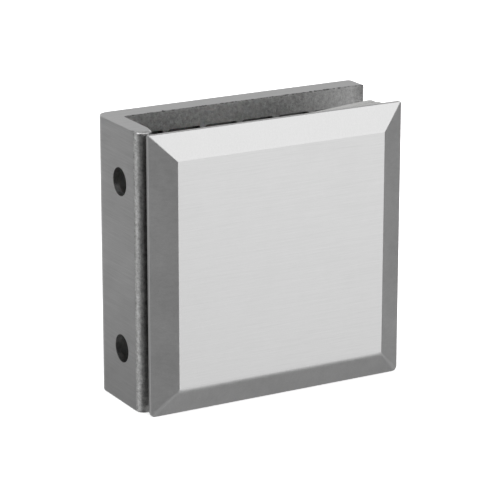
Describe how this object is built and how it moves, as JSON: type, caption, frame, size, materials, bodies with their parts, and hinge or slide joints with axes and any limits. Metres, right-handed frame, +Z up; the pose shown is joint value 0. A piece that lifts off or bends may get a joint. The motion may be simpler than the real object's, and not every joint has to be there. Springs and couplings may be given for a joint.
{
  "type": "glass bracket",
  "caption": "Square stainless wall-to-glass bracket: an L-shaped casting fixed to a wall, with a bevelled front plate drawn in by screws to grip a glass panel.",
  "frame": {"origin": "on the wall face of the leg, midway between the two wall screw holes and on the line through their centres", "axes": "+X out from the wall along the back plate, +Y from the front plate to the rear, +Z up"},
  "size_m": [0.0515, 0.0205, 0.05],
  "materials": {
    "satin_stainless": "satin brushed outside, as cast inside",
    "screw_steel": "plain turned stainless",
    "grey_pad": "matt soft sheet",
    "nylon": "natural moulded"
  },
  "bodies": {
    "fixed_body": {"body": "satin_stainless"},
    "front": {"front_plate": "satin_stainless", "glass_pad_front": "grey_pad", "glass_pad_rear": "grey_pad", "glass_sleeve_upper": "nylon", "glass_sleeve_lower": "nylon"},
    "upper_screw": {"clamp_screw_upper": "screw_steel"},
    "lower_screw": {"clamp_screw_lower": "screw_steel"}
  },
  "joints": [
    {"name": "front_plate_slide", "type": "slide", "parent": "fixed_body", "child": "front", "axis": [0, 1, 0], "range_m": [-0.0018, 0.0016]},
    {"name": "upper_screw_turn", "type": "hinge", "parent": "fixed_body", "child": "upper_screw", "pos_m": [0.02575, 0.0093, 0.011], "axis": [0, -1, 0], "range_deg": [-650, 577]},
    {"name": "lower_screw_turn", "type": "hinge", "parent": "fixed_body", "child": "lower_screw", "pos_m": [0.02575, 0.0093, -0.011], "axis": [0, -1, 0], "range_deg": [-650, 577]}
  ],
  "couplings": [
    {"joint": "upper_screw_turn", "follows": "front_plate_slide", "rad_per_m": 6283.2},
    {"joint": "lower_screw_turn", "follows": "front_plate_slide", "rad_per_m": 6283.2}
  ]
}
